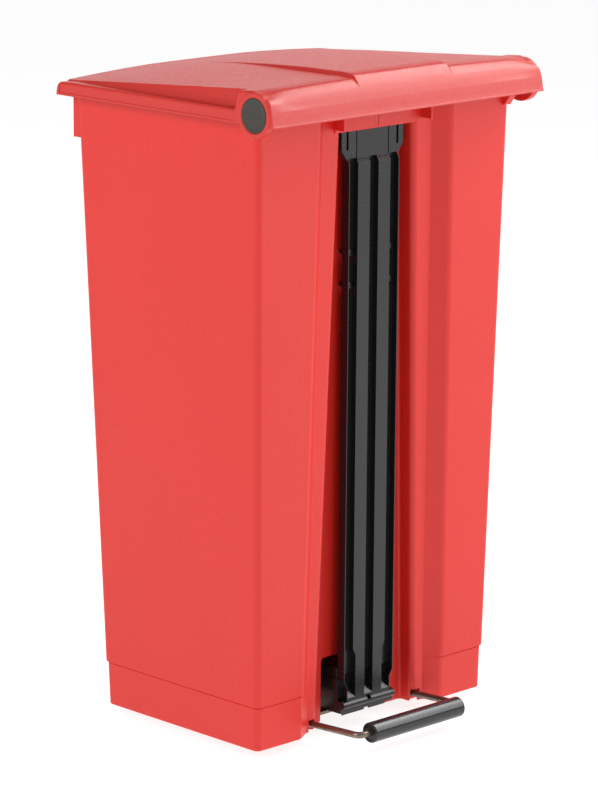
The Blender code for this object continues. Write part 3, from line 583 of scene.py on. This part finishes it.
def lid_solid(inset, name="tool", material=None):
    """The lid as a solid block, with stations close together where it bends."""
    half = LID_HALF - inset
    stations = [0.0, 0.02, 0.04, 0.06, 0.075, 0.081, 0.0822, 0.0834, 0.0846, 0.086, 0.092, 0.105,
                0.12, 0.135, 0.15, 0.165, 0.18, 0.19, 0.20, 0.208, 0.215]
    stations += [0.2200 - inset, 0.2222 - inset, 0.2230 - inset, 0.2239 - inset, 0.2248 - inset,
                 0.2258 - inset, half - 0.008, half - 0.003, half - 0.0018, half - 0.0009,
                 half - 0.0003, half]
    rings = []
    for x in [-value for value in reversed(stations[1:])] + stations:
        rings.append([(x, y, z) for y, z in reversed(lid_section(x, inset))])
    return loft(rings, name, material)


def add_barrel(lid, side):
    """The round barrel at one end of the roll, bored for the pin and its broad head."""
    hinge = (0, HINGE_Y, HINGE_UP)
    start, end = side * BARREL_X[0], side * BARREL_X[1]
    seat = side * (BARREL_X[1] - HEAD_SEAT)
    past = side * 0.252
    before = start - side * 0.004
    barrel = [(start, 0), (start, BARREL_RADIUS), (end, BARREL_RADIUS), (end, 0)]
    join(lid, turned(rounded_profile(barrel, 0.0016, 4), "X", hinge, 72))
    cut(lid, turned([(before, 0), (before, PIN_HOLE), (past, PIN_HOLE), (past, 0)], "X", hinge, 32))
    cut(lid, turned([(seat, 0), (seat, HEAD_RADIUS + GAP),
                     (end - side * 0.0008, HEAD_RADIUS + GAP),
                     (end + side * 0.0004, HEAD_RADIUS + 0.0015), (past, HEAD_RADIUS + 0.0015),
                     (past, 0)], "X", hinge, 72))


def make_lid():
    lid = lid_solid(0.0, "bin_lid", RED_LID)
    cut(lid, lid_solid(LID_WALL))
    for side in (1, -1):
        add_barrel(lid, side)
        # a cam that the push rod's head lifts, and the long notch in the lid's end
        near, far = sorted(side * x for x in CAM_X)
        join(lid, box((near, HINGE_Y + 0.0095, HINGE_UP), (far, HINGE_Y + 0.0135, CAM_TOP),
                      0.0004))
        near, far = sorted(side * x for x in NOTCH_X)
        cut(lid, box((near, NOTCH_Y[0], NOTCH_UP[0]), (far, NOTCH_Y[1], NOTCH_UP[1]), 0.0006, 3))
    done(lid, "lid", "lid", 34)


# ---- hinge pins ----------------------------------------------------------------------------
def make_pin(side, label):
    """Pin with a broad dished head; a fine raised parting line crosses the head at a slant."""
    outer = side * (BARREL_X[1] - GAP)
    behind = side * (BARREL_X[1] - GAP - 0.0036)
    inner = side * 0.204
    profile = [(outer - side * 0.0004, 0.0), (outer - side * 0.0004, 0.0165), (outer, 0.0185),
               (outer, HEAD_RADIUS), (behind, HEAD_RADIUS), (behind, PIN_RADIUS),
               (inner, PIN_RADIUS), (inner, 0.0)]
    pin = turned(rounded_profile(profile, 0.0007, 3), "X", (0, HINGE_Y, HINGE_UP), 72,
                 "pin_" + label, CAP)
    line = box((-0.0006, -0.00022, -0.0155), (0.0006, 0.00022, 0.0155), 0.0)
    line.data.transform(Matrix.Translation((outer - side * 0.0008, HINGE_Y, HINGE_UP))
                        @ Matrix.Rotation(math.radians(-82), 4, "X"))
    join(pin, line)
    done(pin, "body", "hinge_pin_" + label)


# ---- push rod --------------------------------------------------------------------------------
PUSHER_FACE, PLATE_FACE, PUSHER_BACK = -0.1350, -0.1311, -0.1232
GROOVE_FLOOR, GROOVE_LOW_FLOOR = -0.1262, -0.1238
RIB_INNER, RIB_LOW_OUTER, RIB_OUTER = 0.0074, 0.0238, 0.0287
BLADE_LOW_HALF, BLADE_HALF, LIP = 0.0389, 0.0446, 0.0013
GROOVE_LOW, GROOVE_TOP = 0.0335, 0.7363
LEAN, LEAN_BASE = 0.0045, 0.020
STUD_X = 0.0355
STUD_UP = {"low": 0.574, "high": 0.616}
FOOT_HALF, FOOT_FRONT = 0.0478, -0.1325
BAR_Y, BAR_UP, BAR_RADIUS = -0.1336, 0.0244, 0.0049


def mirrored(right):
    """The left half of an outline whose right half is given."""
    return [(-x, z) for x, z in reversed(right)]


def lean_at(height):
    """How far forwards the leaning push rod stands at one height."""
    return LEAN * (height - LEAN_BASE)


def groove_cutter(outline):
    """One groove, deeper beside the foot, with a ramp at its lower end."""
    front = PUSHER_FACE - 0.006
    low = GROOVE_LOW
    profile = [(front, low - 0.0075), (GROOVE_LOW_FLOOR, low + 0.014),
               (GROOVE_LOW_FLOOR, low + 0.0265), (GROOVE_FLOOR, low + 0.0305),
               (GROOVE_FLOOR, GROOVE_TOP + 0.010), (front, GROOVE_TOP + 0.010)]
    cutter = prism(outline, "Y", front - 0.001, PUSHER_BACK)
    return combine(cutter, prism(profile, "X", -0.07, 0.07), "INTERSECT")


def push_rod_blade():
    """The long flat part: grooves between ribs and thin lips, and slotted ears at the top."""
    right = [(BLADE_LOW_HALF - 0.0015, 0.0204), (BLADE_LOW_HALF, 0.0310), (BLADE_LOW_HALF, 0.0474),
             (BLADE_LOW_HALF + 0.0006, 0.0490), (BLADE_HALF - 0.0006, 0.0565),
             (BLADE_HALF, 0.0582), (BLADE_HALF, 0.7332), (BLADE_HALF + 0.0005, 0.7348),
             (0.0541, 0.7466), (0.0546, 0.7484), (0.0546, 0.7710), (0.0440, 0.8022),
             (0.0400, 0.8138)]
    blade = prism(right + mirrored(right), "Y", PUSHER_FACE, PUSHER_BACK, name="push_rod",
                  material=BLACK)
    inner_low, inner = BLADE_LOW_HALF - LIP, BLADE_HALF - LIP
    bottom = GROOVE_LOW - 0.010
    outer_groove = [(RIB_LOW_OUTER, bottom), (inner_low, bottom), (inner_low, 0.0480),
                    (inner, 0.0575), (inner, GROOVE_TOP), (RIB_OUTER, GROOVE_TOP),
                    (RIB_OUTER, 0.0982), (RIB_LOW_OUTER + 0.0006, 0.0898),
                    (RIB_LOW_OUTER, 0.0880)]
    middle_groove = [(RIB_INNER, bottom), (RIB_INNER, GROOVE_TOP)]
    for outline in (outer_groove, mirrored(outer_groove),
                    middle_groove + mirrored(middle_groove)):
        cut(blade, groove_cutter(outline))
    front = PUSHER_FACE - 0.006
    cut(blade, prism([(front, 0.7193), (PLATE_FACE, 0.7353), (PLATE_FACE, 0.830), (front, 0.830)],
                     "X", -0.07, 0.07))
    for side in (1, -1):
        for low_x, high_x, back, low, high in ((0.0274, 0.0289, PLATE_FACE + 0.0017, 0.7330, 0.800),
                                               (0.0424, 0.0460, -0.1202, 0.7470, 0.7760)):
            near, far = sorted((side * low_x, side * high_x))
            cut(blade, box((near, front, low), (far, back, high), 0.0))
    lean = Matrix.Identity(4)
    lean[1][2] = -LEAN
    lean[1][3] = LEAN * LEAN_BASE
    blade.data.transform(lean)
    return blade


def add_head(pusher):
    """The flat head that reaches under the lid's cams."""
    join(pusher, box((-0.039, HINGE_Y + 0.0045, 0.8022), (0.039, -0.1242, 0.8133), 0.0008))


def add_foot(pusher):
    """The hollow foot that the lever lifts, notched beside the blade and clear of its grooves."""
    half, tail_half = FOOT_HALF, FOOT_HALF - 0.0010
    behind_grooves = PUSHER_BACK - 0.0004
    foot = box((-half, FOOT_FRONT, 0.0136), (half, -0.016, 0.060), 0.0010)
    cut(foot, *both_sides((0.0369, 0.053), (-0.1425, -0.1255), (0.0300, 0.0615), 0.0))
    cut(foot, box((-0.0380, -0.1435, 0.0360), (0.0380, behind_grooves, 0.0620), 0.0))
    join(pusher, foot)
    join(pusher, box((-tail_half, behind_grooves, 0.030), (tail_half, -0.055, 0.074), 0.0010))
    cut(pusher, box((0.004 - half, PUSHER_BACK + 0.002, -0.001), (half - 0.004, -0.034, 0.054),
                    0.0))
    bar = [(-tail_half, 0), (-tail_half, BAR_RADIUS), (tail_half, BAR_RADIUS), (tail_half, 0)]
    join(pusher, turned(rounded_profile(bar, 0.0008), "X", (0, BAR_Y, BAR_UP), 32))
    # locating notch under the middle groove, and fine webs along the foot's lower edge
    cut(pusher, box((-0.0035, -0.1420, 0.0262), (0.0035, FOOT_FRONT, 0.0312), 0.0))
    for low_x, high_x in ((-0.0440, -0.0040), (0.0040, 0.0340)):
        join(pusher, box((low_x, -0.1318, 0.0112), (high_x, -0.1300, 0.0142), 0.0003))


def make_pusher():
    pusher = push_rod_blade()
    add_head(pusher)
    add_foot(pusher)
    for side in (1, -1):
        for height in STUD_UP.values():
            floor = GROOVE_FLOOR - lean_at(height)
            low = (side * STUD_X - 0.0038, floor - 0.012, height - 0.0125)
            high = (side * STUD_X + 0.0038, floor + 0.012, height + 0.0042)
            cut(pusher, box(low, high, 0.0))
    done(pusher, "pusher", "pusher", 30, 0.0004)


def make_stud(side, height, label):
    """Shoulder stud with a domed head and a driver slot."""
    start = GROOVE_FLOOR - lean_at(height) - 0.0026
    under_head = start + 0.0022
    wall = at(FRONT_Y, height) + at(RECESS_DEPTH, height) - GAP
    profile = [(start, 0), (start, 0.0034), (start + 0.0008, 0.0050), (under_head, 0.0052),
               (under_head, 0.0032), (wall, 0.0032), (wall, 0)]
    stud = turned(rounded_profile(profile, 0.0004), "Y", (side * STUD_X, 0, height), 32,
                  "stud_" + label, BLACK)
    cut(stud, box((side * STUD_X - 0.0026, start - 0.001, height - 0.0005),
                  (side * STUD_X + 0.0026, start + 0.0007, height + 0.0005), 0.0))
    done(stud, "body", "guide_stud_" + label)


# ---- pedal -----------------------------------------------------------------------------------
LEG_X, PIVOT_X = 0.095, 0.1115
PIVOT_Y, PIVOT_UP = -0.098, 0.0088
SLEEVE_Y, SLEEVE_UP = -0.2145, 0.0146
WIRE_RADIUS = 0.00425


def bend(before, corner, after, radius, steps=10):
    """Points of an arc that rounds one corner of a wire's route."""
    into = (before - corner).normalized()
    out = (after - corner).normalized()
    half_angle = into.angle(out) / 2
    start = corner + into * radius / math.tan(half_angle)
    end = corner + out * radius / math.tan(half_angle)
    centre = corner + (into + out).normalized() * radius / math.sin(half_angle)
    sweep = math.pi - 2 * half_angle
    points = []
    for step in range(steps + 1):
        turn = sweep * step / steps
        points.append(centre + (start - centre) * (math.sin(sweep - turn) / math.sin(sweep))
                      + (end - centre) * (math.sin(turn) / math.sin(sweep)))
    return points


def make_rod():
    """The bent wire: two short pivots, two legs and the bar that carries the sleeve."""
    left = [(-PIVOT_X, PIVOT_Y, PIVOT_UP), (-LEG_X, PIVOT_Y, PIVOT_UP),
            (-LEG_X, SLEEVE_Y, SLEEVE_UP)]
    corners = [Vector(corner) for corner in left + [(-x, y, z) for x, y, z in reversed(left)]]
    path = [corners[0]]
    for before, corner, after in zip(corners, corners[1:], corners[2:]):
        path += bend(before, corner, after, 0.009 if corner.y < -0.15 else 0.0062)
    path.append(corners[-1])
    rings = []
    sides = 20
    up = Vector((0, 0, 1))
    for index, point in enumerate(path):
        along = (path[min(index + 1, len(path) - 1)] - path[max(index - 1, 0)]).normalized()
        across = along.cross(up).normalized()
        lift = across.cross(along).normalized()
        radius = WIRE_RADIUS * (0.86 if index in (0, len(path) - 1) else 1.0)
        angles = [2 * math.pi * side / sides for side in range(sides)]
        rings.append([tuple(point + (across * math.cos(angle) + lift * math.sin(angle)) * radius)
                      for angle in angles])
    done(loft(rings, "pedal_wire", WIRE), "pedal", "pedal_rod", 40)


def make_sleeve():
    """The tube that turns on the wire, with a bush in each end."""
    middle = (0, SLEEVE_Y, SLEEVE_UP)
    start, end = -0.077, 0.085
    radius, inner = 0.0132, 0.0101
    profile = rounded_profile([(start, inner), (start, radius), (end, radius), (end, inner)],
                              0.0016, 4)
    profile += [(end - 0.001, inner), (start + 0.001, inner)]
    sleeve = turned(profile, "X", middle, 64, "foot_sleeve", GRIP)
    done(sleeve, "sleeve", "pedal_sleeve", 40)
    for label, low in (("left", start + 0.001), ("right", end - 0.013)):
        high, outer, bore = low + 0.012, 0.0098, WIRE_RADIUS + 0.0004
        bush = turned(rounded_profile([(low, 0), (low, outer), (high, outer), (high, 0)], 0.0005),
                      "X", middle, 48, "bush_" + label, BLACK)
        low, high = low - 0.002, high + 0.002
        cut(bush, turned([(low, 0), (low, bore), (high, bore), (high, 0)], "X", middle, 32))
        done(bush, "sleeve", "sleeve_bush_" + label)


def dress_cad_nodes():
    """Carried-over small pieces get finished materials."""
    looks = {"hinge_clip_left": WIRE, "hinge_clip_right": WIRE, "lift_lever": WIRE,
             "pivot_screw_left": WIRE, "pivot_screw_right": WIRE, "pivot_block_left": BLACK,
             "pivot_block_right": BLACK, "lid_buffer_left": SOFT, "lid_buffer_right": SOFT}
    for name, material in looks.items():
        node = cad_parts[name]
        if not node.material_slots:
            node.data.materials.append(material)
        for slot in node.material_slots:
            slot.material = material


# ---- studio ----------------------------------------------------------------------------------
def make_camera():
    azimuth, elevation, roll = math.radians(-44.218), math.radians(12.903), math.radians(0.25)
    back = Vector((math.sin(azimuth) * math.cos(elevation),
                   -math.cos(azimuth) * math.cos(elevation), math.sin(elevation)))
    right = Vector((math.cos(azimuth), math.sin(azimuth), 0.0))
    above = back.cross(right)
    across = right * math.cos(roll) + above * math.sin(roll)
    upward = above * math.cos(roll) - right * math.sin(roll)
    data = bpy.data.cameras.new("camera")
    data.sensor_width = 36.0
    data.lens = 168.72
    data.clip_end = 60.0
    camera = bpy.data.objects.new("camera", data)
    turn = Matrix((across, upward, back)).transposed().to_4x4()
    camera.matrix_world = Matrix.Translation((-3.3047, -3.3832, 1.4976)) @ turn
    bpy.context.scene.collection.objects.link(camera)
    bpy.context.scene.camera = camera


def area_light(name, place, target, size, power):
    data = bpy.data.lights.new(name, "AREA")
    data.shape = "RECTANGLE"
    data.size, data.size_y = size
    data.energy = power
    light = bpy.data.objects.new(name, data)
    direction = Vector(target) - Vector(place)
    light.matrix_world = (Matrix.Translation(place)
                          @ direction.to_track_quat("-Z", "Y").to_matrix().to_4x4())
    bpy.context.scene.collection.objects.link(light)


def make_studio():
    builder = bmesh.new()
    bmesh.ops.create_grid(builder, x_segments=2, y_segments=2, size=60.0)
    floor_material = bpy.data.materials.new("floor")
    floor_material.use_nodes = True
    shader = floor_material.node_tree.nodes["Principled BSDF"]
    shader.inputs["Base Color"].default_value = (0.40, 0.40, 0.40, 1)
    shader.inputs["Roughness"].default_value = 0.9
    shader.inputs["Specular IOR Level"].default_value = 0.1
    shader.inputs["Emission Color"].default_value = (1, 1, 1, 1)
    shader.inputs["Emission Strength"].default_value = 0.84
    floor = new_object("floor", builder, floor_material)
    floor.location.z = -0.0005
    world = bpy.data.worlds.new("studio")
    world.use_nodes = True
    background = world.node_tree.nodes["Background"]
    background.inputs["Color"].default_value = (1.0, 1.0, 1.0, 1.0)
    background.inputs["Strength"].default_value = 0.30
    bpy.context.scene.world = world
    bpy.context.scene.view_settings.view_transform = "Standard"
    area_light("key", (-3.4, 0.4, 2.4), (0, 0, 0.50), (1.8, 1.8), 61)
    area_light("front_right", (2.4, -2.4, 1.5), (0, 0, 0.70), (1.5, 1.7), 32)
    area_light("mid_right", (2.25, -1.4, 2.6), (0, 0, 0.70), (1.4, 1.4), 33)
    area_light("high_right", (2.1, -0.4, 2.9), (0, 0, 0.70), (1.3, 1.3), 40)
    area_light("rear", (2.6, 3.0, 1.9), (0, 0, 0.84), (3.5, 1.6), 14)
    area_light("front_left", (-0.6, -3.6, 1.4), (0, 0, 0.45), (1.2, 1.8), 8)


make_body()
make_lid()
for end_side, end_label in ((-1, "left"), (1, "right")):
    make_pin(end_side, end_label)
    for stud_level, stud_height in STUD_UP.items():
        make_stud(end_side, stud_height, f"{stud_level}_{end_label}")
make_pusher()
make_rod()
make_sleeve()
dress_cad_nodes()
make_camera()
make_studio()

bpy.context.view_layer.update()
